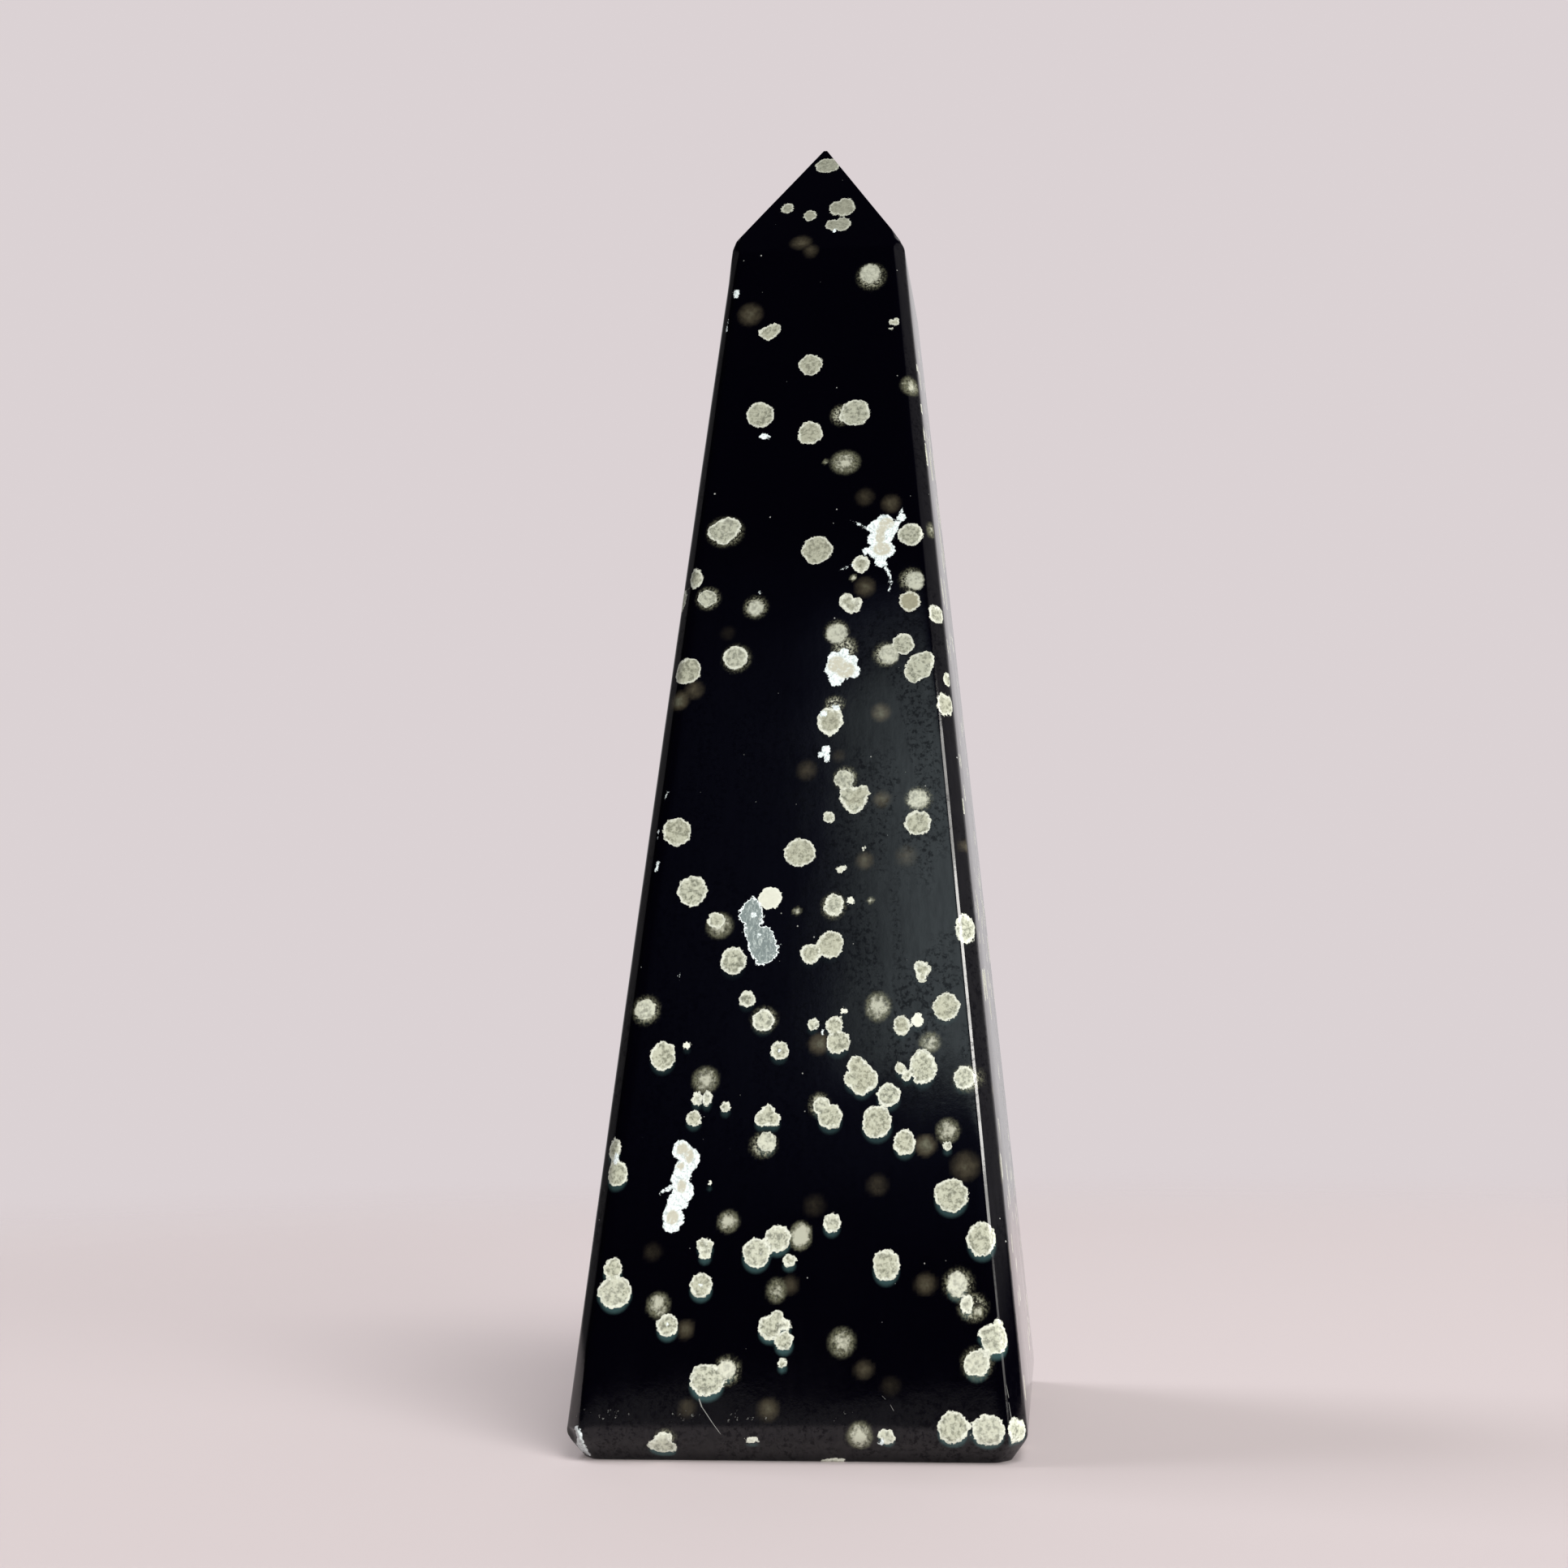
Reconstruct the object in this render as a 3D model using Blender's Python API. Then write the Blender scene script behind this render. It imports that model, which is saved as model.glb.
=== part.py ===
"""Polished obelisk of snowflake obsidian: one solid stone, ground to flat facets.

The stone stands on its base. The origin is the middle of the base, +Z runs up its axis,
and its front faces -Y. Every flat on it is one pass of a grinding wheel, so the solid
is a block from which one plane after another is cut away.
"""
import math

import bmesh
import bpy
from mathutils import Vector

# Driving dimensions, in metres
HEIGHT = 0.120
BASE_WIDTH = 0.0358
SHOULDER_WIDTH = 0.0164
SHAFT_HEIGHT = 0.1049

# The tip's facets would meet a little above the top, where its point is worn off,
# and a little to one side of the axis
POINT_WEAR = 0.00032
APEX_OFFSET = -0.00034

# Each facet of the tip was ground by itself. These are the heights of its foot at its left and
# its right end, from outside: front, right, back, left
TIP_FEET = [(0.10478, 0.10458), (0.10482, 0.10482), (0.10458, 0.10478), (0.10547, 0.10547)]

# Flats along the four upright edges, measured as the leg cut from each neighbouring face
CHAMFER_LEG_FOOT = 0.00134
CHAMFER_LEG_SHOULDER = 0.00100

# Flats round the bottom edge
BEVEL_HEIGHT = 0.00178
BEVEL_INSET = 0.00144
CORNER_BEVEL_INSET = 0.0013

# Shell-shaped chip out of the front left corner of the base
CHIP_RADIUS = 0.0019
CHIP_DEPTH = 0.0007
CHIP_DIRECTION = Vector((-1.0, -0.75, -0.9))

HALF_BASE = BASE_WIDTH / 2
HALF_SHOULDER = SHOULDER_WIDTH / 2
QUARTER_TURNS = [math.radians(90 * turn) for turn in range(4)]


def turned(point, angle):
    """The point turned about the obelisk's axis."""
    cos_a, sin_a = math.cos(angle), math.sin(angle)
    return Vector((point.x * cos_a - point.y * sin_a, point.x * sin_a + point.y * cos_a, point.z))


def grind(stone, first, second, third):
    """Cuts away all that lies outside the plane through three points, and closes the cut flat."""
    normal = (second - first).cross(third - first).normalized()
    axis_point = Vector((0, 0, SHAFT_HEIGHT / 2))
    if normal.dot(axis_point - first) > 0:
        normal = -normal
    parts = stone.verts[:] + stone.edges[:] + stone.faces[:]
    cut = bmesh.ops.bisect_plane(stone, geom=parts, plane_co=first, plane_no=normal, clear_outer=True)
    rim = [item for item in cut["geom_cut"] if isinstance(item, bmesh.types.BMEdge)]
    bmesh.ops.contextual_create(stone, geom=rim)


def grind_shaft(stone):
    """The four tapering faces of the shaft."""
    for angle in QUARTER_TURNS:
        foot_left = Vector((-HALF_BASE, -HALF_BASE, 0))
        foot_right = Vector((HALF_BASE, -HALF_BASE, 0))
        shoulder = Vector((HALF_SHOULDER, -HALF_SHOULDER, SHAFT_HEIGHT))
        grind(stone, turned(foot_left, angle), turned(foot_right, angle), turned(shoulder, angle))


def grind_tip(stone):
    """The four facets of the pyramid, each from the apex down to its foot, and the worn point."""
    apex = Vector((APEX_OFFSET, 0, HEIGHT + POINT_WEAR))
    for angle, (left_height, right_height) in zip(QUARTER_TURNS, TIP_FEET):
        left_foot = Vector((-HALF_SHOULDER, -HALF_SHOULDER, left_height))
        right_foot = Vector((HALF_SHOULDER, -HALF_SHOULDER, right_height))
        grind(stone, apex, turned(left_foot, angle), turned(right_foot, angle))
    grind(stone, Vector((0, 0, HEIGHT)), Vector((1, 0, HEIGHT)), Vector((0, 1, HEIGHT)))


def grind_upright_edges(stone):
    """A narrow flat along each upright edge, a little wider at its foot."""
    for angle in QUARTER_TURNS:
        foot_a = Vector((HALF_BASE - CHAMFER_LEG_FOOT, -HALF_BASE, 0))
        foot_b = Vector((HALF_BASE, -HALF_BASE + CHAMFER_LEG_FOOT, 0))
        top = Vector((HALF_SHOULDER - CHAMFER_LEG_SHOULDER, -HALF_SHOULDER, SHAFT_HEIGHT))
        grind(stone, turned(foot_a, angle), turned(foot_b, angle), turned(top, angle))


def grind_bottom_edge(stone):
    """A sloping flat under each face and under each upright flat."""
    taper = (HALF_BASE - HALF_SHOULDER) / SHAFT_HEIGHT
    half_above = HALF_BASE - taper * BEVEL_HEIGHT
    half_below = HALF_BASE - BEVEL_INSET
    leg = CHAMFER_LEG_FOOT
    for angle in QUARTER_TURNS:
        above_left = Vector((-half_above, -half_above, BEVEL_HEIGHT))
        above_right = Vector((half_above, -half_above, BEVEL_HEIGHT))
        below = Vector((0, -half_below, 0))
        grind(stone, turned(above_left, angle), turned(above_right, angle), turned(below, angle))
    for angle in QUARTER_TURNS:
        above_a = Vector((half_above - leg, -half_above, BEVEL_HEIGHT))
        above_b = Vector((half_above, -half_above + leg, BEVEL_HEIGHT))
        corner_below = HALF_BASE - leg / 2 - CORNER_BEVEL_INSET
        below = Vector((corner_below, -corner_below, 0))
        grind(stone, turned(above_a, angle), turned(above_b, angle), turned(below, angle))


def make_stone():
    """The whole stone: a block with every facet ground on it."""
    mesh = bpy.data.meshes.new("obsidian_obelisk")
    stone = bmesh.new()
    bmesh.ops.create_cube(stone, size=1.0)
    bmesh.ops.scale(stone, vec=(2 * BASE_WIDTH, 2 * BASE_WIDTH, 2 * HEIGHT), verts=stone.verts)
    bmesh.ops.translate(stone, vec=(0, 0, HEIGHT), verts=stone.verts)
    grind_shaft(stone)
    grind_tip(stone)
    grind_upright_edges(stone)
    grind_bottom_edge(stone)
    bmesh.ops.recalc_face_normals(stone, faces=stone.faces)
    stone.to_mesh(mesh)
    stone.free()
    body = bpy.data.objects.new("obsidian_obelisk", mesh)
    bpy.context.scene.collection.objects.link(body)
    return body


def make_chip_cutter():
    """The ball whose surface is the hollow of the chip."""
    corner = Vector((-HALF_BASE + CHAMFER_LEG_FOOT / 2, -HALF_BASE + CHAMFER_LEG_FOOT / 2, BEVEL_HEIGHT))
    centre = corner + CHIP_DIRECTION.normalized() * (CHIP_RADIUS - CHIP_DEPTH)
    bpy.ops.mesh.primitive_ico_sphere_add(subdivisions=3, radius=CHIP_RADIUS, location=centre)
    cutter = bpy.context.object
    cutter.name = "chip_cutter"
    cutter.hide_render = True
    cutter.display_type = "WIRE"
    return cutter


def obsidian_material():
    """Black volcanic glass with a high polish."""
    material = bpy.data.materials.new("polished_obsidian")
    material.use_nodes = True
    shader = material.node_tree.nodes["Principled BSDF"]
    shader.inputs["Base Color"].default_value = (0.004, 0.004, 0.006, 1.0)
    shader.inputs["Roughness"].default_value = 0.06
    shader.inputs["Metallic"].default_value = 0.0
    shader.inputs["IOR"].default_value = 1.49
    return material


def main():
    for thing in list(bpy.data.objects):
        bpy.data.objects.remove(thing, do_unlink=True)
    body = make_stone()
    chip = body.modifiers.new("corner_chip", "BOOLEAN")
    chip.operation = "DIFFERENCE"
    chip.solver = "EXACT"
    chip.object = make_chip_cutter()
    body.data.materials.append(obsidian_material())


main()
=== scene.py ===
"""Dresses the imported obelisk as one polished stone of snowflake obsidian.

The stone is a fine closed mesh over the same facets as the CAD solid, with its edges very
slightly worn. The pale spherulites are balls that grew inside the glass. Every vertex carries its
distance from them, which the material cuts into crisp lobed discs. Lengths are in metres, and the
sizes of spherulites and grain in millimetres.
"""
from math import cos, hypot, pi, radians, sin, sqrt

import bpy
import numpy as np
from mathutils import Matrix
from numpy.linalg import norm


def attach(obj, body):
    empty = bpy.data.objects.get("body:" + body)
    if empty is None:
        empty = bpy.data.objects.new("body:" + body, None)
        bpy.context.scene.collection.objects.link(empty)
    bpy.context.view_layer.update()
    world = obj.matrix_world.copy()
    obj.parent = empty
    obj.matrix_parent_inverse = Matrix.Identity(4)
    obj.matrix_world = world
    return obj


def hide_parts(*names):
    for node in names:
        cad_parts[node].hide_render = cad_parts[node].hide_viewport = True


MM = 0.001

# The photograph's frame and the camera that took it
PHOTO_SIZE = 1932
FOCAL_LENGTH_PX = 1934
OPTICAL_CENTRE_PX = (1139.15, 966)
CAMERA_POSITION = (0.0204697, -0.1412871, 0.0273406)
CAMERA_YAW = radians(-4.626)
CAMERA_PITCH = radians(11.063)
CAMERA_ROLL = radians(-0.522)
SENSOR_WIDTH = 36

# The facets, as in the CAD
HEIGHT = 0.12
HALF_BASE = 0.0179
HALF_SHOULDER = 0.0082
SHAFT_HEIGHT = 0.1049
POINT_WEAR = 0.00032
APEX_OFFSET = -0.00034
TIP_FEET = [(0.10478, 0.10458), (0.10482, 0.10482), (0.10458, 0.10478), (0.10547, 0.10547)]
CHAMFER_LEG_FOOT = 0.00134
CHAMFER_LEG_SHOULDER = 0.001
BEVEL_HEIGHT = 0.00178
BEVEL_INSET = 0.00144
CORNER_BEVEL_INSET = 0.0013
CHIP_RADIUS = 0.0019
CHIP_DEPTH = 0.0007
CHIP_DIRECTION = (-1, -0.75, -0.9)

# What polishing by hand leaves: a slight crown on each face, and waves, with their lengths up and
# across the stone
CROWN = 0.000117
WAVE = 0.000003
SLOW_WAVE = (0.0037, 0.0051)
FAST_WAVE = (0.0013, 0.0031)

# Rounding of the edges of the shaft and of the tip, the heights between which it changes, and how
# far the topmost row of vertices draws in
EDGE_SOFTNESS = 0.00015
TIP_SOFTNESS = 0.00004
SOFTNESS_HEIGHTS = (0.102, 0.1045)
TOP_SHARE = 0.75

# Rows of vertices up the stone in millimetres, closer together where it turns
ROWS = np.concatenate([
    np.arange(0, 2.35, 0.1), np.linspace(2.4, 104, 460), np.arange(104.12, 106, 0.12),
    np.linspace(106.1, 119.9, 54), [119.96, 120],
])

# Columns across the front, right, back and left faces and across a chamfer, and those near an edge
FACE_COLUMNS = (96, 4, 4, 4)
CHAMFER_COLUMNS = 2
EDGE_OFFSETS = (0, 0.00004, 0.0001, 0.0002)

# From the first to the second of these heights the corner columns gather at the edges of the tip, at
# these distances from them, measured at the shoulder
GATHER_HEIGHTS = (0.106, 0.107)
GATHERED_OFFSETS = (-0.00035, -0.00018, -0.00008, -0.00003, 0, 0.00003, 0.00008, 0.00018, 0.00035)

# Spherulites on the front, by their place in the photograph in pixels, then half their width on the
# stone in millimetres and, where it differs, half their height
PALE_PX = [
    (1019.8, 204.1, 1.22, 1.32), (970.1, 256.8, 0.6, 0.9), (998.4, 265.6, 0.64, 0.9),
    (1041, 255, 0.98, 1.52), (1031, 256.5, 0.72, 1.2), (1037, 276, 0.86, 1.22), (1026, 277, 0.7, 0.95),
    (1072.1, 337, 0.95, 0.98), (954, 406, 0.6), (948.5, 409, 0.74, 0.68), (942.5, 409.5, 0.58, 0.56),
    (947, 414, 0.55, 0.52), (1102, 397, 0.48, 0.36), (1098, 405, 0.24, 0.15),
    (998.9, 449.6, 1.07, 1.09), (936.8, 511.8, 1.35, 1.27), (1054.5, 509, 1.28, 1.34),
    (1041, 514, 0.55, 0.5), (998.4, 534.1, 1.16), (900.4, 649.8, 0.96), (884.3, 656, 0.94, 0.9),
    (892.7, 663, 0.76, 0.72), (893.5, 654, 1.22, 1.12), (857, 713, 0.66, 0.95), (871.5, 738, 0.82),
    (840, 742, 0.95, 1.15), (931.4, 749.8, 0.69), (906.5, 810.6, 1.1), (847, 827.5, 1.22),
    (1006.7, 678.5, 1.36, 1.34), (1122.3, 658.3, 1.13, 1.07), (1127.5, 716, 0.78, 0.84),
    (1152.6, 757.5, 0.8, 0.93), (1112.8, 794, 1.02), (1139, 814, 0.85), (1127, 829.7, 0.9),
    (1133, 822, 1.18), (1096, 806.7, 0.86), (1031.2, 781, 0.9, 0.88), (1166, 838, 0.5, 0.66),
    (1164, 869, 0.83, 1.17), (1040.1, 960.7, 0.83), (1046, 981, 0.8, 0.84), (1062, 978, 0.66, 0.72),
    (1053, 984.5, 1.14, 1.05), (1052.8, 992, 0.76, 0.8), (1021.7, 1007.4, 0.52, 0.56),
    (1130.6, 984.3, 0.86, 0.8), (1131.6, 1014.6, 1.12, 1.07), (834.6, 1025.6, 1.26),
    (985.6, 1051, 1.32, 1.26), (1064.3, 1045.7, 0.22), (1035, 1072, 0.34), (1041, 1070, 0.28, 0.24),
    (853.4, 1098.5, 1.27, 1.3), (883, 1134.5, 0.75, 0.7), (1027.8, 1115.5, 0.83, 0.95),
    (903.8, 1184.1, 1.08, 1.2), (998.8, 1175.3, 0.86, 0.87), (1023, 1164.1, 1.12, 1.2),
    (1135.9, 1193.6, 0.69, 0.61), (1135.5, 1204, 0.48, 0.42), (1189.7, 1145.8, 0.95, 1.36),
    (920.7, 1231.1, 0.69, 0.68), (940.6, 1257.6, 0.92, 0.9), (795.2, 1243.8, 0.87, 0.85),
    (1166, 1240.7, 1.07, 1.14), (1001.8, 1262.2, 0.5), (1028.3, 1263.8, 0.75, 0.72),
    (1032.3, 1284.5, 1, 0.95), (1111.1, 1263.3, 0.7, 0.83), (960.5, 1294.7, 0.75),
    (817.3, 1301.2, 1.05, 1.18), (1055.7, 1313, 0.78), (1053.3, 1329, 0.85), (1070.9, 1329, 0.77, 0.85),
    (1062, 1338, 0.78, 0.75), (1060, 1327, 1.15, 1.14), (1109.5, 1316.5, 0.45, 0.5), (1117, 1326, 0.42),
    (1137, 1314.8, 1.07, 1.42), (1188, 1327.6, 0.86, 0.95), (859.3, 1353, 0.44, 0.62),
    (871.5, 1353.7, 0.42, 0.62), (894.2, 1364, 0.42, 0.48), (855.2, 1377.8, 0.64),
    (1095, 1349.5, 0.97, 0.93), (946.5, 1369, 0.56), (938.9, 1379, 0.6), (953, 1379, 0.6, 0.62),
    (946, 1376, 0.8, 0.74), (1012.5, 1363, 0.73), (1023.2, 1375.5, 0.99, 1),
    (1080.9, 1382.7, 1.24, 1.28), (1167.3, 1412, 0.38), (1114.8, 1406.8, 0.88, 1.02),
    (945, 1406.5, 0.76, 0.8), (756.7, 1416.5, 0.7, 0.92), (759.8, 1445.6, 0.93, 1.02),
    (1172, 1472.9, 1.32, 1.28), (1025, 1506.8, 0.69, 0.74), (958.5, 1526, 1.03, 1.02),
    (932, 1543.5, 1.12, 1.15), (972.7, 1553.2, 0.54, 0.47), (865.5, 1533, 0.42, 0.5),
    (873.5, 1534, 0.4, 0.46), (869, 1544, 0.52), (1209.8, 1526.4, 1.15, 1.32), (1092, 1559, 1.05, 1.17),
    (755.4, 1563, 0.76, 0.8), (745.8, 1590.3, 0.66, 0.7), (769.7, 1590.3, 0.62, 0.66),
    (757, 1600.5, 0.72, 0.7), (757.8, 1592, 1.24, 1.22), (864.1, 1583.6, 0.91),
    (822.8, 1632.5, 0.85, 0.86), (1191.1, 1607, 0.5, 0.72), (1179.2, 1582.3, 0.81, 0.91),
    (948.7, 1635, 0.9), (957.5, 1624, 0.56, 0.58), (967.8, 1632, 0.46, 0.5), (966.2, 1651.7, 0.74),
    (1226, 1650, 1.08, 1.14), (1231, 1633, 0.36, 0.56), (1211, 1643, 0.42, 0.38),
    (1203.6, 1679.6, 0.95, 0.98), (964.2, 1679.3, 0.38), (871, 1700.3, 1.36, 1.2),
    (894.9, 1687.6, 0.67), (1174.1, 1759.3, 1.15, 1.17), (1217.4, 1762.5, 1.23, 1.13),
    (1254, 1762.5, 0.85, 1.13), (815.8, 1781, 1.04, 0.7), (816.5, 1773, 0.74, 0.46),
    (807, 1780.8, 0.52, 0.56), (824, 1783, 0.55, 0.54), (926.5, 1775, 0.48, 0.24),
    (1088, 1767, 0.38, 0.42), (1094, 1771.5, 0.55, 0.6), (1029, 1800, 0.95, 0.3),
]

# Beige and cream ones: place, share of beige, or of cream below zero, share of white rim, and size
TONED_PX = [
    (1061, 695.3, 0.35, 1.5, 0.8, 0.86), (1043.4, 741, 0.25, 1.3, 0.7, 0.72),
    (1056, 743, 0.25, 1.3, 0.52, 0.54), (1050, 748, 0.25, 1.3, 0.78, 0.66),
    (1120.7, 741.4, 1, 0.3, 0.92, 1), (1023, 889.1, 0.35, 1.5, 1.16, 1.24),
    (949, 1106.8, -1, 0.5, 0.97), (1130.8, 1257, -1, 0.5, 0.5, 0.58), (847.2, 1287.8, -1, 0.5, 0.33),
    (1048.1, 1109.5, -1, 0.5, 0.38), (874.6, 1457.8, -1, 0.5, 0.22), (1040.6, 1245.5, -1, 0.5, 0.27),
]

# Beige hearts inside the white clusters
HEART_PX = [
    (1092.5, 645.3, 0.74, 0.56), (1085.5, 654, 0.46, 0.44), (1084.8, 663, 0.46, 0.58),
    (1087, 677, 0.84, 0.66), (1031, 819, 0.86, 0.8), (1042, 826, 0.88, 0.8), (840.9, 1415.7, 0.5),
    (850.1, 1424.9, 0.36, 0.6), (838.6, 1437.1, 0.28, 0.32), (840.2, 1461.6, 0.3, 0.6),
    (828.7, 1499.9, 0.5, 0.62),
]

# The white clusters, as the balls that they are grown from
WHITE_PX = [
    (1090.1, 645.3, 0.84), (1080.9, 650.6, 0.74), (1098.5, 650.6, 0.61), (1076.3, 664.4, 0.56),
    (1085.5, 665.9, 0.67), (1094.7, 661.3, 0.56), (1082.5, 678.2, 0.84), (1093.2, 678.2, 0.73),
    (1085.5, 692, 0.56), (1067.1, 679.7, 0.3, 0.36), (1110.8, 637.6, 0.4), (1105.4, 646, 0.3, 0.32),
    (1025.8, 825.1, 0.68), (1030.4, 837.4, 0.66), (1051.8, 827.5, 0.58, 0.62), (1040, 805.5, 0.46),
    (1040, 822, 1.12), (840.2, 1417.2, 0.74, 0.76), (851.6, 1428, 0.7, 0.84),
    (842.5, 1440.2, 0.76, 0.72), (838.6, 1452.5, 0.76), (840.9, 1464.7, 0.84, 0.8),
    (847, 1470, 0.52, 0.6), (834, 1481, 0.8, 0.72), (841, 1483, 0.44), (828.7, 1497, 0.78, 0.8),
    (833.3, 1501.4, 0.62, 0.7), (827.9, 1509.1, 0.66, 0.64), (759.5, 1428, 0.24, 0.42),
    (1028.6, 284, 0.2, 0.24), (907.1, 361.4, 0.32, 0.42), (942, 538, 0.38, 0.3), (947, 538.5, 0.16),
    (1018, 924.3, 0.42, 0.4), (1011.5, 930.7, 0.28), (1019, 934.5, 0.34), (936.3, 730.8, 0.13, 0.18),
    (1154.6, 1044.8, 0.12), (864.1, 1583.6, 0.17), (822.8, 1632.5, 0.16), (960.5, 1294.7, 0.16),
    (1014, 1272, 0.13, 0.24), (1086, 1777, 0.22, 0.26), (929.5, 1127.5, 0.27, 0.25),
    (936, 1152.8, 0.2, 0.22), (837.2, 1201.7, 0.13, 0.22), (812.2, 1025, 0.14), (811, 1033, 0.11, 0.13),
    (1028, 811, 0.58), (1050, 814, 0.5), (1014.5, 880, 0.3), (1030, 872.5, 0.36, 0.3),
]

# White threads, nicks, scratches and a partly painted glint: pixels from and to, and half their width in
# millimetres
THREADS_AND_GLINT_PX = [
    (1074, 653, 1064, 649.5, 0.16), (1064, 649.5, 1054, 644.5, 0.12), (1054, 644.5, 1046, 640.7, 0.07),
    (1110.8, 633, 1111.5, 627.7, 0.1), (1089, 692, 1095, 706, 0.17), (1095, 706, 1098, 718, 0.14),
    (1098, 718, 1095.8, 729, 0.12), (1050, 696.5, 1041, 700.5, 0.12),
    (1041, 700.5, 1034.5, 703.4, 0.08), (827, 1463, 818.5, 1467.6, 0.13),
    (818.5, 1467.6, 813.8, 1470.8, 0.08), (897, 393, 895.5, 408, 0.09), (1141, 472, 1142.4, 486, 0.12),
    (1146, 599, 1147.6, 609, 0.13), (811.5, 1062, 808.5, 1073, 0.1), (824.4, 974, 819.5, 984.8, 0.05),
    # The last is the chip at the front left corner of the foot: partly its crushed white glass and partly a
    # painted glint
    (708.5, 1768.9, 719.5, 1788, 0.62),
]

# Scratches too fine for the mesh, in the same way
SCRATCHES_PX = [
    (861.5, 1724, 864.5, 1733, 0.05), (864.5, 1733, 877, 1752, 0.028), (877, 1752, 888.5, 1768, 0.02),
    (1239, 1700, 1243, 1722, 0.022), (1243, 1728, 1247, 1752, 0.024), (1087, 1720, 1091, 1724, 0.022),
    (1097, 1731, 1101, 1738, 0.022),
]

# Granular halos, where a ball widens under the polished surface: place, how far the outline of the
# spherulite in their middle dissolves in them, and size
HALO_PX = [
    (1073.6, 341, 1, 1.4), (1036, 512, 0, 0.95, 1.05), (873, 738, 0.25, 1.1), (931.4, 749, 0.9, 1.1),
    (908, 812, 0, 1.28), (1123, 715, 1, 1.1, 1.15), (1031.2, 779, 1, 1.1), (1092, 807, 1, 1.15),
    (1042, 959, 0.2, 1.05), (1132, 985, 0.9, 1.18, 1.1), (941, 1411, 0.3, 1.1, 1.05),
    (796, 1245, 0.5, 1.22, 1.2), (942, 1256.5, 0, 1.1, 1.08), (1181, 1582, 0.7, 1.2),
    (896, 1689, 0.8, 1.08, 1.12), (894, 656, 0, 1.66, 1.46), (1041, 800, 0, 1.15, 1.25),
    (1029, 868, 0, 0.92, 0.8), (1198.8, 1611, 0, 1.15, 1.1), (1204, 1680, 0, 1.22),
    (1027, 1117, 0, 1.05, 1.12), (1009, 1361, 0, 0.85, 0.95), (1192, 1329, 0, 1.15, 1.1),
    (819, 1772, 0, 0.8, 0.66),
]

# Spherulites that stop just under the surface, with a soft outline: place, how plainly each shows,
# and size
CLOUDY_PX = [
    (1122, 476.4, 0.88, 1.02, 1.05), (1041.6, 570.2, 1.03, 1.4, 1.2), (1017, 569.6, 1, 0.27),
    (869.5, 1331, 1.08, 1.12, 1.1), (1167.9, 1393.4, 1.1, 0.97, 1), (1082, 1240.7, 1.2, 1.08, 1.24),
    (897.6, 1505.3, 1.2, 0.86, 0.88), (811.2, 1608, 1.15, 0.92, 0.98), (1037.2, 1654, 1, 1.06, 1.14),
    (1059.5, 1770.5, 1.25, 0.98, 1.1), (982, 1122.9, 1.2, 0.38, 0.36), (1051.4, 712.4, 1.8, 0.3),
    (1147, 654, 0.75, 0.5, 0.85), (887, 1141, 1.05, 1.14, 1.12), (986.6, 1523, 2.1, 0.86, 1.05),
    (957, 1590, 0.8, 0.85, 1), (1073, 1109.9, 1.1, 0.32), (1205.2, 1615.8, 1.8, 0.42),
    (1145.8, 1284.5, 0.9, 0.95, 0.9),
]

# Deeper ones, which show only as a dim brown glow: place, how bright it is, and size
DEEP_PX = [
    (987, 299, 0.4, 1.12, 1.2), (999, 308, 0.28, 0.8, 0.95), (924.6, 387.8, 0.5, 1.25),
    (1066, 613, 0.27, 0.92), (1098, 621, 0.45, 0.95), (1066, 724, 0.5, 1), (837, 864, 0.95, 0.9),
    (856, 851, 0.48, 0.9), (1085.7, 878.4, 0.75, 0.9), (994.3, 949.5, 0.3, 0.96),
    (1087, 985.5, 0.55, 0.82), (1065.8, 1060.8, 0.55, 0.82), (1117, 1055, 0.3, 1.02),
    (1033.7, 932, 0.2, 0.64), (1009.5, 1286, 0.8, 0.9), (1140.2, 1411.3, 1.05, 0.88),
    (1190, 1437, 0.48, 1.22), (1081.3, 1460.4, 0.24, 0.9), (1003.6, 1485.4, 0.13, 0.95),
    (973, 1584, 0.35, 0.75, 0.8), (1140.6, 1582.3, 0.5, 0.88), (804.2, 1542.8, 0.14, 0.78),
    (1064.3, 1687.6, 0.44, 0.76), (1097.5, 1708, 0.12, 0.8), (946.3, 1737, 0.5, 0.9),
    (846.2, 1735.4, 0.34, 0.74), (897, 781, 0.1, 0.72), (844.7, 1638, 0.5, 0.72, 0.78),
    (1189, 1043, 0.6, 0.4, 0.6),
]

# The flush patch of clear grey crystal, as its outline in pixels
PATCH_PX = [
    (928.3, 1103), (932.1, 1108.4), (938.3, 1116.8), (941, 1120.6), (940.3, 1134.4), (937, 1141.3),
    (950.5, 1143.6), (955.1, 1154.3), (957.4, 1163.5), (960.5, 1165), (958.9, 1175.7), (950.5, 1184.9),
    (939, 1190.3), (932.2, 1188), (928.3, 1180.3), (923, 1169.6), (922.2, 1160.4), (916.8, 1148.2),
    (915.3, 1142.8), (918.4, 1140.5), (910.7, 1131.3), (910, 1126.7), (914.5, 1117.6), (919.9, 1109.1),
    (926, 1106.8),
]

# How far below a spherulite its painted teal glow of floor light stands, in millimetres, and the heights
# where it shows
PAINTED_GLOW_SHIFT = 0.42
PAINTED_GLOW_HEIGHTS = (42, 4)

# The plain ones' range of tones and of rims, and the most rim that one on the tip has
TONES = (0, 0.35)
RIMS = (0.2, 0.7)
TIP_RIM = 0.2

# Spherulites this near to a halo's middle belong to it. They are paler, the more so the softer
# their outline, and this is the rim value of a dissolved one
HALO_NEAR_PX = 9
HALO_TONE = -0.1
SOFT_TONE = -0.25
SOFT_RIM = -2
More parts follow.
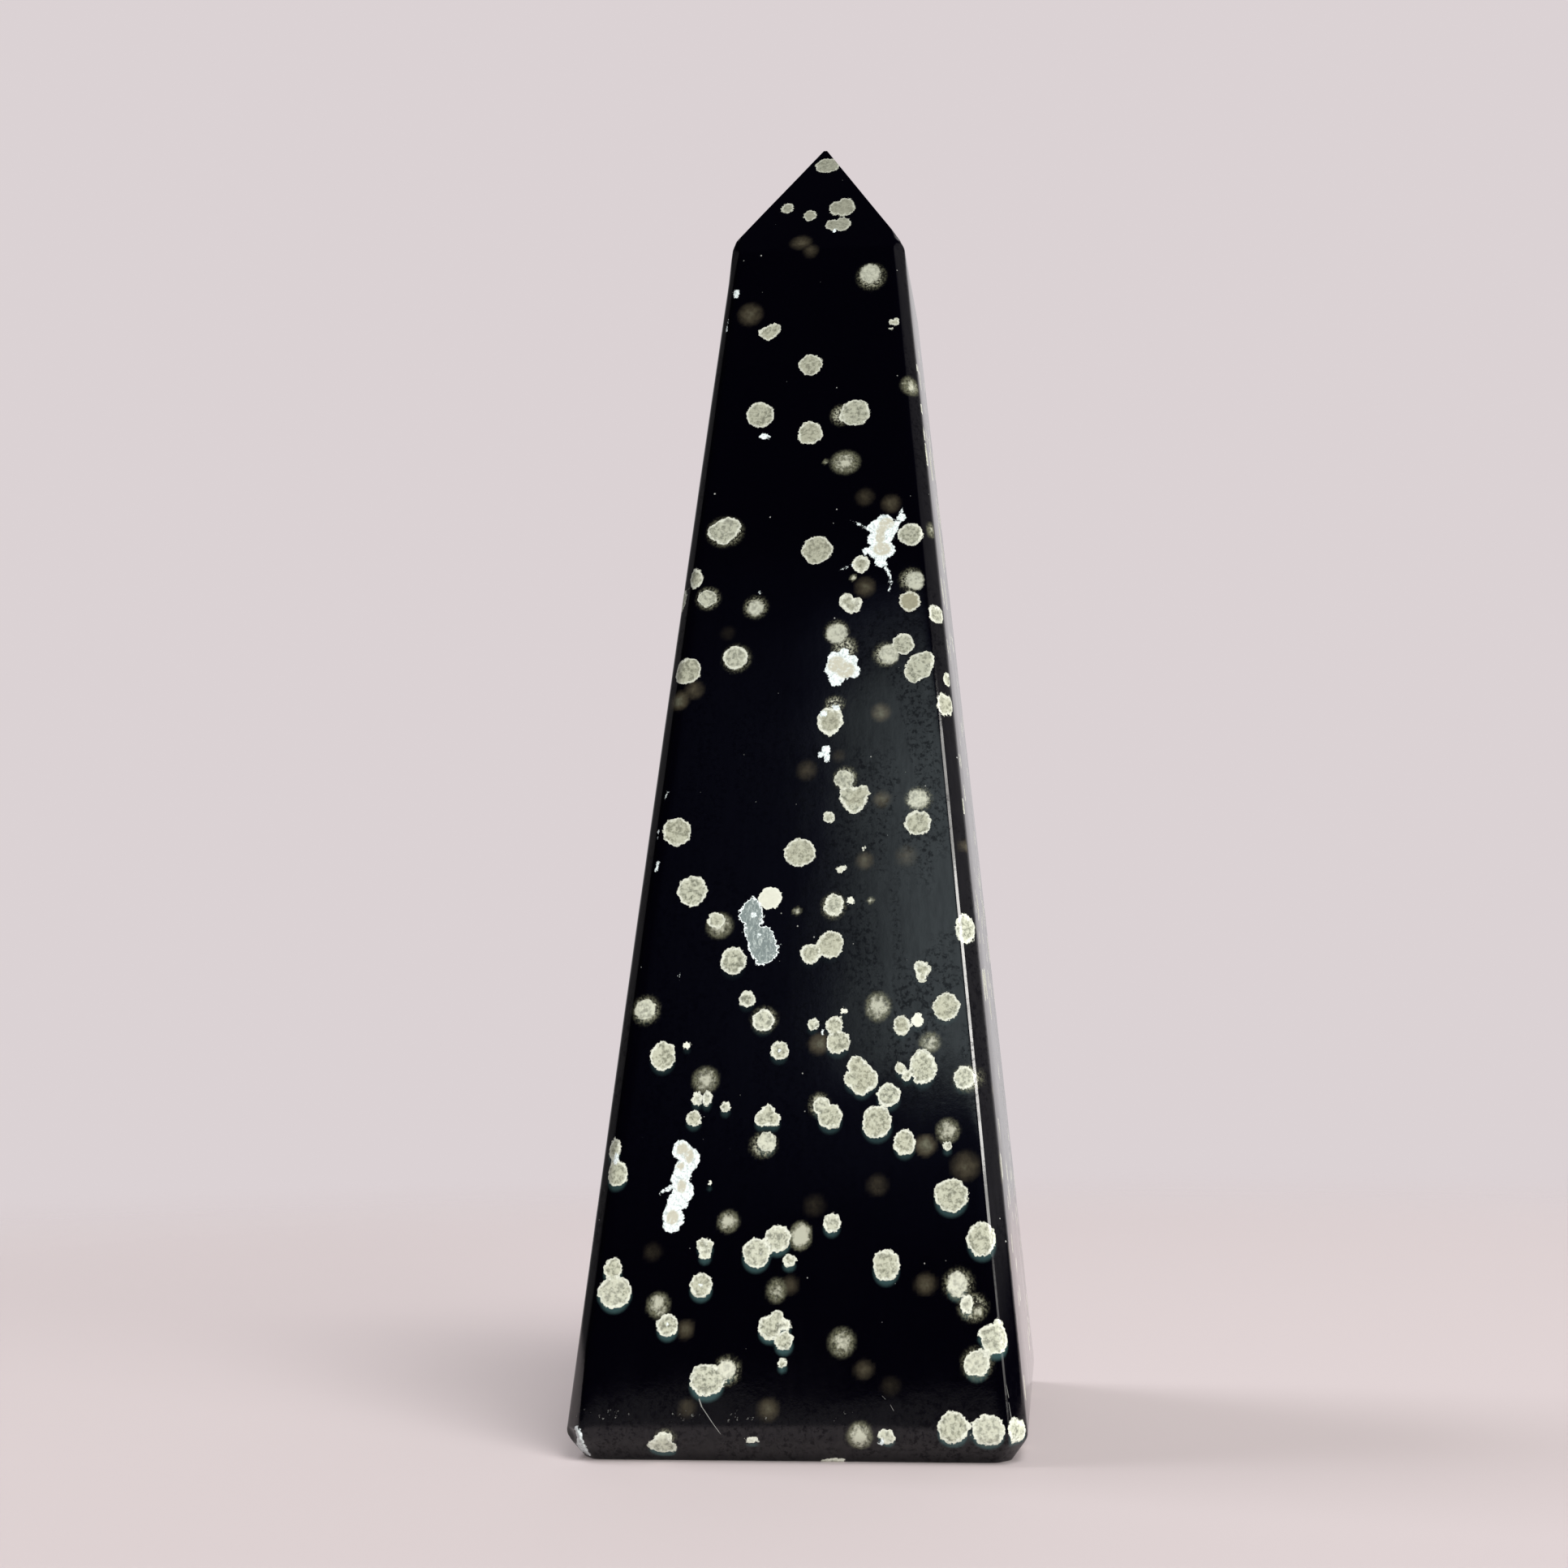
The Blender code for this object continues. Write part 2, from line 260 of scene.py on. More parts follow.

# How much paler they are near the foot, a painted pool of light from the floor, by their height in
# millimetres
PAINTED_FOOT_LIGHT_HEIGHTS = (0, 30)
PAINTED_FOOT_LIGHT = (0.3, 0)
# How much greyer they are by their height: painted shade that deepens towards the tip
PAINTED_SHADE_HEIGHTS = (0, 18, 30, 47, 72, 104, 105.5)
PAINTED_SHADE_AMOUNTS = (0.1, 0.07, 0.01, 0.18, 0.34, 0.36, 0.72)

# The petals of an outline: how many, how unevenly they stand round it, how far out, how much
# further for each more, and their size and that of the ball in their middle, as shares of the whole
PETALS = (4, 10)
PETAL_SWAY = 0.22
PETAL_OUT = (0.24, 0.3)
PETAL_OUT_EACH = 0.06
PETAL_SIZES = (0.965, 1.06)
MIDDLE_SIZE = 0.935

# How far from a mark's middle it is worked out: as a share of its size, and in millimetres
CUT_SPREAD = 1.4
SOFT_SPREAD = 1.2
MARGIN = 1.2
PATCH_REACH = 6

# How far off the patch's plane it holds, in millimetres
PATCH_DEPTH = 0.5

# Where the amount of a ball under the surface ends, as a share of its size
SOFT_REACH = 1.15
DEEP_REACH = 1.06

# Colours of the stone, and of its painted shade and painted teal glow of floor light
GLASS = (0.0004, 0.0003, 0.0014, 1)
PALE_DARK = (0.155, 0.166, 0.127, 1)
PALE_LIGHT = (0.49, 0.51, 0.405, 1)
PALE_VEIN = (0.66, 0.69, 0.57, 1)
BEIGE = (0.315, 0.3, 0.2, 1)
CREAM = (0.74, 0.76, 0.65, 1)
RIM_WHITE = (0.72, 0.75, 0.66, 1)
DEEP_BROWN = (0.13, 0.112, 0.072, 1)
DEEP_OLIVE = (0.13, 0.131, 0.092, 1)
HALO_OLIVE = (0.13, 0.132, 0.088, 1)
HALO_LIGHT = (0.42, 0.43, 0.34, 1)
CLOUD_OLIVE = (0.1, 0.102, 0.068, 1)
CLOUD_LIGHT = (0.4, 0.41, 0.33, 1)
# Painted light: a teal glow from the floor just below the spherulites near the foot
PAINTED_GLOW_TEAL = (0.03, 0.062, 0.064, 1)
CRYSTAL_DARK = (0.165, 0.205, 0.203, 1)
CRYSTAL_LIGHT = (0.44, 0.5, 0.48, 1)
CRUST_GREY = (0.4, 0.47, 0.47, 1)
CRUST_WHITE = (0.82, 0.9, 0.9, 1)
HEART_BEIGE = (0.46, 0.445, 0.35, 1)
# Painted shade, greyer towards the tip
PAINTED_SHADE_GREY = (0.14, 0.142, 0.115, 1)
DUST_GREY = (0.35, 0.36, 0.34, 1)

# Noises: how many waves to a millimetre, then their detail, roughness and distortion
BROAD = (1.3, 2)
FINE = (3.6, 3, 0.6)
GRAIN = (5, 3, 0.7)
MOTTLE = (3, 4, 0.62, 0.2)
BULGE = (0.8, 1)
CLUMPS = (2.4, 4, 0.7)
DEEP_CLUMPS = (1.9, 3, 0.6)
STREAKS = (3.2, 3, 0.7, 0.8)
MOSS = (3.4, 4, 0.75)
FLECKS = (2.6, 3, 0.7)
FLECK_FIELDS = (0.24, 1)
SMEAR = (0.22, 3, 0.6, 0.8)
DRAG = (2.2, 4, 0.7)
POLISH = (0.9, 5, 0.7)

# How far these noises move an outline, in millimetres
BROAD_RIPPLE = 0.16
FINE_RIPPLE = 0.5
STREWN_RIPPLE = 0.5
CLUMP_RIPPLE = 2.4
PATCH_RIPPLE = 0.9
MOSS_RIPPLE = 0.56

# Half the width over which an outline fades in millimetres, crisp and dissolved
CRISP = 0.03
DISSOLVED = 0.13

# Balls strewn through the unseen sides, small and large: how many cells to a millimetre, the share
# of cells without one, and the largest radius. Halos and deep balls are seen this far inwards
STREWN_BALLS = ((0.46, 0.68, 0.8), (0.255, 0.14, 1.52))
STREWN_LEAST = -0.1
STREWN_START = (40, 17, 5)
HALO_INWARD = 0.972
DEEP_INWARD = 0.925

# Specks of dust and the row of nicks above the foot, by its height in millimetres
DUST_CELLS = 0.85
DUST_SIZE = 0.085
NICKS_FOOT = (2.9, 3.2)
NICKS_TOP = (3.9, 3.6)
NICK_STRENGTH = 0.7

# The polish: how rough the glass is, how much rougher the flecks and the spherulites are, and the
# bevels, below a height in millimetres
SMEAR_ROUGHNESS = (0.3, 0.8, 0.03, 0.08)
FLECK_ROUGHNESS = 0.05
STONE_ROUGHNESS = 0.18
FOOT_ROUGHNESS = (1.9, 1.7, 0, 0.25)
INDEX = 1.49
BUMP_STRENGTH = 0.25
BUMP_DEPTH = 0.00001

# The surroundings: between which values of a direction's x (east), y (north) or z (height) each
# part of them begins, and the radiance before and after
BEHIND_NORTH = (0.25, 0.75, 0, 0.62)
LEFT_EAST = (-0.5, -0.8)
LEFT_NORTH = (0.12, 0.24)
LEFT_HEIGHT = (0.75, 0.45, 0, 0.13)
RIGHT_EAST = (0.5, 0.75)
RIGHT_HEIGHT = (0.02, 0.12, 0, 0.4)
RIGHT_PALING = (0.35, 0.6, 1, 0.6)
LOW_NORTH = (-0.2, -0.6)
LOW_HEIGHT = (0, -0.01, 0, 0.22)
AMBIENT_LIGHT = 0.008

# The window and its dim skirt: height of the foot and of the top, and left edge
HAZES = [
    ((0.165, 0.215), (0.5, 0.38), (-0.165, -0.065, 0, 1.15)),
    ((0.06, 0.2), (0.52, 0.38), (-0.365, -0.065, 0, 0.12)),
]
HAZE_NORTH = (-0.3, -0.6)
HAZE_RIGHT = (0.45, 0.2)

MIRRORED_TINT = (1, 0.96, 0.98, 1)
HAZE_TINT = (0.88, 1.03, 1.07, 1)
DIM_TINT = (0.6, 0.68, 1, 1)
BACKDROP = (0.71, 0.645, 0.66, 1)

# The floor: its half width and depth in metres, how far out it fades, how many times nearer it does
# so in front, and its look
FLOOR_SIZE = 3
FLOOR_DEPTH = -0.00002
FLOOR_FADE = (0.15, 0.42)
FLOOR_NEARER = 3
FLOOR_LOOK = {"Base Color": (0.555, 0.495, 0.503, 1), "Roughness": 0.8, "Specular IOR Level": 0.05}

# The lights: azimuth from the front towards +X and elevation in degrees, width and height in
# metres, radiance, colour, whether it casts a shadow, and whether the stone mirrors it
LIGHT_DISTANCE = 3
LIGHT_AIM = (0, 0, 0.045)
WARM = (1, 0.98, 0.94)
LIGHTS = {
    "key": (48, 16.9, 1.8, 1.06, 8.8, WARM, False, True),
    "key_core": (48, 14.8, 1.8, 0.6, 10.5, WARM, False, True),
    "key_shade": (48, 16.9, 1.8, 1.06, 6.2, WARM, True, True),
    "key_foot": (48, 3.2, 1.2, 0.26, 2.5, WARM, True, True),
    "front_high": (40, 62, 1.3, 1.3, 11, (1, 0.98, 0.96), True, False),
    "fill": (-100, 62, 0.8, 0.8, 15, (0.97, 0.98, 1), True, False),
}

SEED = 11

# Layers of the figure and of its painted glow and shade: those that start far away, as distances, and those
# that start at nothing
DISTANCE_LAYERS = ("cut", "crust_and_glint", "patch", "painted_glow")
AMOUNT_LAYERS = ("tone", "rim", "painted_shade", "heart", "halo", "cloud", "deep", "front")
FAR = 3.0


def camera_axes():
    """The photograph's right, up and forward directions."""
    forward = np.array([
        sin(CAMERA_YAW) * cos(CAMERA_PITCH),
        cos(CAMERA_YAW) * cos(CAMERA_PITCH),
        sin(CAMERA_PITCH),
    ])
    level = np.array([cos(CAMERA_YAW), -sin(CAMERA_YAW), 0])
    upright = np.cross(level, forward)
    right = cos(CAMERA_ROLL) * level + sin(CAMERA_ROLL) * upright
    up = -sin(CAMERA_ROLL) * level + cos(CAMERA_ROLL) * upright
    return right, up, forward


def make_camera():
    """The camera at the photograph's viewing angle."""
    right, up, forward = camera_axes()
    data = bpy.data.cameras.new("camera")
    data.sensor_width = SENSOR_WIDTH
    data.lens = SENSOR_WIDTH * FOCAL_LENGTH_PX / PHOTO_SIZE
    data.shift_x = -(OPTICAL_CENTRE_PX[0] - PHOTO_SIZE / 2) / PHOTO_SIZE
    data.shift_y = (OPTICAL_CENTRE_PX[1] - PHOTO_SIZE / 2) / PHOTO_SIZE
    data.clip_start = 0.005
    camera = linked("camera", data)
    camera.matrix_world = placed(right, up, -forward, CAMERA_POSITION)
    bpy.context.scene.camera = camera


def linked(name, data):
    """A new object in the scene."""
    thing = bpy.data.objects.new(name, data)
    bpy.context.scene.collection.objects.link(thing)
    return thing


def placed(*columns):
    """The matrix of an object, from its three axes and its position."""
    matrix = np.eye(4)
    matrix[:3] = np.array(columns).T
    return Matrix(matrix)


def turned(point, turns):
    """The point turned by quarter turns about the obelisk's axis."""
    angle = radians(90 * turns)
    x, y, z = point
    return np.array([x * cos(angle) - y * sin(angle), x * sin(angle) + y * cos(angle), z])


def plane_through(first, second, third):
    """The outward normal of the plane through three points, and its distance from the origin."""
    normal = np.cross(second - first, third - first)
    normal /= norm(normal)
    if normal @ (np.array([0, 0, SHAFT_HEIGHT / 2]) - first) > 0:
        normal = -normal
    return normal, normal @ first


def facet_planes():
    """Every flat ground on the stone: a name, an outward normal and a distance."""
    planes = []
    taper = (HALF_BASE - HALF_SHOULDER) / SHAFT_HEIGHT
    half_above = HALF_BASE - taper * BEVEL_HEIGHT
    half_below = HALF_BASE - BEVEL_INSET
    corner_below = HALF_BASE - CHAMFER_LEG_FOOT / 2 - CORNER_BEVEL_INSET
    apex = np.array([APEX_OFFSET, 0, HEIGHT + POINT_WEAR])
    for turns in range(4):
        cuts = [
            ("face", (-HALF_BASE, -HALF_BASE, 0), (HALF_BASE, -HALF_BASE, 0),
             (HALF_SHOULDER, -HALF_SHOULDER, SHAFT_HEIGHT)),
            ("chamfer", (HALF_BASE - CHAMFER_LEG_FOOT, -HALF_BASE, 0),
             (HALF_BASE, -HALF_BASE + CHAMFER_LEG_FOOT, 0),
             (HALF_SHOULDER - CHAMFER_LEG_SHOULDER, -HALF_SHOULDER, SHAFT_HEIGHT)),
            ("bevel", (-half_above, -half_above, BEVEL_HEIGHT), (half_above, -half_above, BEVEL_HEIGHT),
             (0, -half_below, 0)),
            ("bevel", (half_above - CHAMFER_LEG_FOOT, -half_above, BEVEL_HEIGHT),
             (half_above, -half_above + CHAMFER_LEG_FOOT, BEVEL_HEIGHT), (corner_below, -corner_below, 0)),
        ]
        for name, *points in cuts:
            planes.append((name, *plane_through(*(turned(point, turns) for point in points))))
        left_foot = turned((-HALF_SHOULDER, -HALF_SHOULDER, TIP_FEET[turns][0]), turns)
        right_foot = turned((HALF_SHOULDER, -HALF_SHOULDER, TIP_FEET[turns][1]), turns)
        planes.append(("tip", *plane_through(apex, left_foot, right_foot)))
    return planes


def side_fractions(width, columns):
    """Distances of the columns along one side, close together near its two ends."""
    ends = np.array(EDGE_OFFSETS)
    inner = np.linspace(2 * EDGE_OFFSETS[-1], width - 2 * EDGE_OFFSETS[-1], columns)
    return np.concatenate([ends, inner, width - ends[:0:-1]])


def section_points(height):
    """Points round the stone's sharp cross-section at one height, from its front left corner."""
    share = min(height, SHAFT_HEIGHT) / SHAFT_HEIGHT
    half = HALF_BASE + (HALF_SHOULDER - HALF_BASE) * share
    leg = CHAMFER_LEG_FOOT + (CHAMFER_LEG_SHOULDER - CHAMFER_LEG_FOOT) * share
    points = []
    for turns, columns in enumerate(FACE_COLUMNS):
        for distance in side_fractions(2 * (half - leg), columns):
            points.append(turned((-half + leg + distance, -half, height), turns))
        for distance in side_fractions(leg * sqrt(2), CHAMFER_COLUMNS):
            step = distance / sqrt(2)
            points.append(turned((half - leg + step, -half + step, height), turns))
    return np.array(points)


def gather_at_tip_edges(directions, heights, centre, planes):
    """Turns the corner columns towards the edges between the facets of the tip."""
    tips = [(normal, distance) for name, normal, distance in planes if name == "tip"]
    shares = np.clip((heights - GATHER_HEIGHTS[0]) / (GATHER_HEIGHTS[1] - GATHER_HEIGHTS[0]), 0, 1)
    width = len(GATHERED_OFFSETS)
    last = 0
    for turns, columns in enumerate(FACE_COLUMNS):
        last += len(side_fractions(1, columns)) + width
        pair = (tips[turns], tips[(turns + 1) % 4])
        sides = np.array([normal[:2] for normal, distance in pair])
        for row in np.nonzero(shares)[0]:
            gaps = np.array([distance - normal[2] * heights[row] for normal, distance in pair])
            corner = np.linalg.solve(sides, gaps) - np.array([centre[row], 0])
            sideways = np.array([-corner[1], corner[0]]) / (HALF_SHOULDER * sqrt(2))
            gathered = corner + np.outer(GATHERED_OFFSETS, sideways)
            gathered /= norm(gathered, axis=1, keepdims=True)
            mixed = directions[row, last - width:last] * (1 - shares[row]) + gathered * shares[row]
            directions[row, last - width:last] = mixed / norm(mixed, axis=1, keepdims=True)


def stone_surface(planes):
    """Vertices of the stone as rows by columns: where level rays from its axis leave it."""
    heights = ROWS * MM
    sharp = np.array([section_points(height) for height in heights])
    directions = sharp[:, :, :2] / norm(sharp[:, :, :2], axis=2, keepdims=True)
    rise = np.clip((heights - SHAFT_HEIGHT) / (HEIGHT + POINT_WEAR - SHAFT_HEIGHT), 0, 1)
    centre = APEX_OFFSET * rise
    gather_at_tip_edges(directions, heights, centre, planes)
    level = np.clip(heights / SHAFT_HEIGHT, 0, 1)
    crown = CROWN * 4 * level * (1 - level)
    softness = np.interp(heights, SOFTNESS_HEIGHTS, (EDGE_SOFTNESS, TIP_SOFTNESS))[:, None]
    decay = np.zeros(directions.shape[:2])
    nearest = np.full(directions.shape[:2], np.inf)
    reaches = []
    for number, (name, normal, distance) in enumerate(planes):
        slope = directions @ normal[:2]
        along = sharp[:, :, :2] @ np.array([-normal[1], normal[0]])
        slow = np.sin(heights[:, None] / SLOW_WAVE[0] + along / SLOW_WAVE[1] + number) - 1
        fast = np.sin(heights[:, None] / FAST_WAVE[0] - along / FAST_WAVE[1] + 2 * number)
        wave = WAVE * (slow + fast - 1)
        lift = crown[:, None] + wave if name in ("face", "chamfer") else wave * (name == "tip")
        gap = distance - normal[0] * centre[:, None] - normal[2] * heights[:, None] + lift
        reach = np.where(slope > 1e-4, gap / np.maximum(slope, 1e-4), np.inf)
        reaches.append(reach)
        nearest = np.minimum(nearest, reach)
    for reach in reaches:
        decay += np.exp(-(reach - nearest) / softness)
    radius = nearest - softness * np.log(decay)
    radius[-1] *= TOP_SHARE
    radius = chipped(radius, directions, centre, heights)
    points = np.empty(sharp.shape)
    points[:, :, :2] = directions * radius[:, :, None]
    points[:, :, 0] += centre[:, None]
    points[:, :, 2] = heights[:, None]
    return points


def chipped(radius, directions, centre, heights):
    """The radii after the chip out of the front left corner of the base."""
    inward = -HALF_BASE + CHAMFER_LEG_FOOT / 2
    chip = np.array(CHIP_DIRECTION)
    ball = np.array([inward, inward, BEVEL_HEIGHT]) + chip / norm(chip) * (CHIP_RADIUS - CHIP_DEPTH)
    start = np.stack([centre - ball[0], np.full(len(centre), -ball[1])], axis=1)
    along = np.einsum("rcd,rd->rc", directions, start)
    left = np.sum(start ** 2, axis=1) + (heights - ball[2]) ** 2 - CHIP_RADIUS ** 2
    inside = along ** 2 - left[:, None]
    entry = -along - np.sqrt(np.maximum(inside, 0))
    hit = (inside > 0) & (entry > 0) & (entry < radius)
    return np.where(hit, entry, radius)


def hit_point(planes, px, py):
    """Where the photograph's ray through a pixel meets the stone, in millimetres, and the level
    direction, the uphill direction and the normal there, as rows."""
    right, up, forward = camera_axes()
    ray = forward * FOCAL_LENGTH_PX
    ray = ray + right * (px - OPTICAL_CENTRE_PX[0]) - up * (py - OPTICAL_CENTRE_PX[1])
    ray /= norm(ray)
    start = np.array(CAMERA_POSITION)
    best = (-1, None)
    for name, normal, distance in planes:
        facing = ray @ normal
        if facing < -1e-6:
            reach = (distance - normal @ start) / facing
            if reach > best[0]:
                best = (reach, normal)
    reach, normal = best
    across = np.cross([0, 0, 1], normal)
    across /= norm(across)
    return (start + ray * reach) / MM, np.array([across, np.cross(normal, across), normal])


class Marks:
    """The figure of the stone, with its painted glow and shade: for each vertex its distance from the
    spherulites round it.
    """

    def __init__(self, points, planes):
        self.points = points / MM
        self.planes = planes
        shape = points.shape[:2]
        self.layers = {name: np.full(shape, FAR) for name in DISTANCE_LAYERS}
        self.layers.update({name: np.zeros(shape) for name in AMOUNT_LAYERS})
        self.random = np.random.default_rng(SEED)
        chamfer = len(side_fractions(1, CHAMFER_COLUMNS))
        face = len(side_fractions(1, FACE_COLUMNS[0]))
        self.layers["front"][:, :face + chamfer] = 1
        self.layers["front"][:, -chamfer:] = 1

    def rows_near(self, centre, reach):
        """The rows of vertices within reach of a height."""
        heights = self.points[:, 0, 2]
        first, last = np.searchsorted(heights, [centre[2] - reach, centre[2] + reach])
        return slice(first, last)

    def share(self, centre, frame, size, rows):
        """Distance from an ellipsoid's centre, as a share of its own size."""
        local = (self.points[rows] - centre) @ frame.T
        return norm(local / (size[0], size[-1], sqrt(size[0] * size[-1])), axis=2)

    def lobed(self, centre, frame, size, rows):
        """Distance from a ball whose outline swells into petals."""
        distance = (self.share(centre, frame, size, rows) - MIDDLE_SIZE) * min(size)
        petals = self.random.integers(*PETALS)
        start = self.random.uniform(0, 2 * pi)
        for number in range(petals):
            sway = self.random.uniform(-PETAL_SWAY, PETAL_SWAY)
            angle = start + 2 * pi * (number + sway) / petals
            far = self.random.uniform(*PETAL_OUT) + PETAL_OUT_EACH * (petals - PETALS[0])
            way = np.array([cos(angle) * size[0], sin(angle) * size[-1], 0]) * far
            petal = np.array(size) * (self.random.uniform(*PETAL_SIZES) - far)
            reach = (self.share(centre + way @ frame, frame, petal, rows) - 1) * min(petal)
            distance = np.minimum(distance, reach)
        return distance

    def add_cut(self, px, py, size, tone, rim):
        """A spherulite that the surface cuts through."""
        centre, frame = hit_point(self.planes, px, py)
        rows = self.rows_near(centre, CUT_SPREAD * max(size) + MARGIN)
        distance = self.lobed(centre, frame, size, rows)
        # Painted light: paler near the foot, as if lit by the floor
        tone -= np.interp(centre[2], PAINTED_FOOT_LIGHT_HEIGHTS, PAINTED_FOOT_LIGHT)
        if centre[2] * MM > SHAFT_HEIGHT:
            rim = min(rim, TIP_RIM)
        # Painted shade: greyer towards the tip, where less light falls
        painted_shade = np.interp(centre[2], PAINTED_SHADE_HEIGHTS, PAINTED_SHADE_AMOUNTS)
        layers = self.layers
        closer = distance < layers["cut"][rows]
        for name, value in (("cut", distance), ("tone", tone), ("rim", rim), ("painted_shade", painted_shade)):
            layers[name][rows] = np.where(closer, value, layers[name][rows])
        # Painted light: a teal glow from the floor, just below the spherulite
        below = centre - PAINTED_GLOW_SHIFT * frame[1]
        shifted = (self.share(below, frame, size, rows) - 1) * min(size)
        layers["painted_glow"][rows] = np.minimum(layers["painted_glow"][rows], shifted)

    def add_white(self, px, py, size):
        """One ball of a white cluster."""
        centre, frame = hit_point(self.planes, px, py)
        rows = self.rows_near(centre, CUT_SPREAD * max(size) + MARGIN)
        distance = (self.share(centre, frame, size, rows) - 1) * min(size)
        self.layers["crust_and_glint"][rows] = np.minimum(self.layers["crust_and_glint"][rows], distance)

    def add_streak(self, ends, half_width):
        """A white thread, scratch or partly painted glint between two points."""
        start = hit_point(self.planes, *ends[:2])[0]
        end = hit_point(self.planes, *ends[2:])[0]
        rows = self.rows_near((start + end) / 2, MARGIN + norm(end - start))
        way = end - start
        along = np.clip((self.points[rows] - start) @ way / (way @ way), 0, 1)
        nearest = start + along[:, :, None] * way
        distance = norm(self.points[rows] - nearest, axis=2) - half_width
        self.layers["crust_and_glint"][rows] = np.minimum(self.layers["crust_and_glint"][rows], distance)

    def add_patch(self):
        """The signed distance from the outline of the flush grey patch."""
        hits = [hit_point(self.planes, px, py) for px, py in PATCH_PX]
        frame = hits[-1][1]
        corners = np.array([point for point, axes in hits])
        middle = corners.mean(axis=0)
        rows = self.rows_near(middle, PATCH_REACH)
        flat = (self.points[rows] - middle) @ frame.T
        corners = ((corners - middle) @ frame.T)[:, :2]
        distance = np.full(flat.shape[:2], np.inf)
        inside = np.zeros(flat.shape[:2], bool)
        for start, end in zip(corners, np.roll(corners, -1, axis=0)):
            way = end - start
            offset = flat[:, :, :2] - start
            along = np.clip(offset @ way / (way @ way), 0, 1)
            distance = np.minimum(distance, norm(offset - along[:, :, None] * way, axis=2))
            spans = (flat[:, :, 1] < start[1]) != (flat[:, :, 1] < end[1])
            rise = way[1] if abs(way[1]) > 1e-9 else 1e-9
            crossing = start[0] + (flat[:, :, 1] - start[1]) / rise * way[0]
            inside ^= spans & (flat[:, :, 0] < crossing)
        off = np.maximum(np.abs(flat[:, :, 2]) - PATCH_DEPTH, 0)
        distance = np.where(inside, -distance, distance) + off
        self.layers["patch"][rows] = np.minimum(distance, FAR)

    def add_soft(self, layer, px, py, size, strength=1, reach=SOFT_REACH):
        """A ball under the surface, as an amount that fades out towards its edge."""
        centre, frame = hit_point(self.planes, px, py)
        rows = self.rows_near(centre, SOFT_SPREAD * max(size))
        amount = strength * np.clip(reach - self.share(centre, frame, size, rows), 0, 1)
        self.layers[layer][rows] = np.maximum(self.layers[layer][rows], amount)

    def mark_front(self):
        """Everything that the photograph shows in the stone."""
        for px, py, *size in PALE_PX:
            tone = self.random.uniform(*TONES)
            rim = self.random.uniform(*RIMS)
            softness = [mark[2] for mark in HALO_PX
                        if hypot(px - mark[0], py - mark[1]) < HALO_NEAR_PX]
            if softness:
                tone = HALO_TONE + SOFT_TONE * max(softness)
                rim += (SOFT_RIM - rim) * max(softness)
            self.add_cut(px, py, size, tone, rim)
        for px, py, tone, rim, *size in TONED_PX:
            self.add_cut(px, py, size, tone, rim)
        for px, py, *size in WHITE_PX:
            self.add_white(px, py, size)
        for *ends, half_width in THREADS_AND_GLINT_PX:
            self.add_streak(ends, half_width)
        self.add_patch()
        for px, py, *size in HEART_PX:
            self.add_soft("heart", px, py, size)
        for px, py, softness, *size in HALO_PX:
            self.add_soft("halo", px, py, size)
        for px, py, strength, *size in CLOUDY_PX:
            self.add_soft("cloud", px, py, size, strength)
        for px, py, strength, *size in DEEP_PX:
            self.add_soft("deep", px, py, size, strength, DEEP_REACH)


def build_stone(planes):
    """The fine closed mesh of the stone, with its marks as vertex attributes."""
    points = stone_surface(planes)
    marks = Marks(points, planes)
    marks.mark_front()
    rows, columns = points.shape[:2]
    vertices = np.concatenate([points.reshape(-1, 3), [[0, 0, 0], [APEX_OFFSET, 0, HEIGHT]]])
    grid = np.arange(rows * columns).reshape(rows, columns)
    after = np.roll(grid, -1, axis=1)
    faces = np.stack([grid[:-1], after[:-1], after[1:], grid[1:]], axis=2).reshape(-1, 4).tolist()
    for low, low_after, high, high_after in zip(grid[0], after[0], grid[-1], after[-1]):
        faces.append((int(low_after), int(low), rows * columns))
        faces.append((int(high), int(high_after), rows * columns + 1))
    mesh = bpy.data.meshes.new("obelisk_stone")
    mesh.from_pydata(vertices.tolist(), [], faces)
    mesh.shade_smooth()
    for name, layer in marks.layers.items():
        values = layer.ravel()
        values = np.concatenate([values, values[:1], values[-1:]]).astype(np.float32)
        mesh.attributes.new(name, "FLOAT", "POINT").data.foreach_set("value", values)
    return linked("obelisk_stone", mesh)


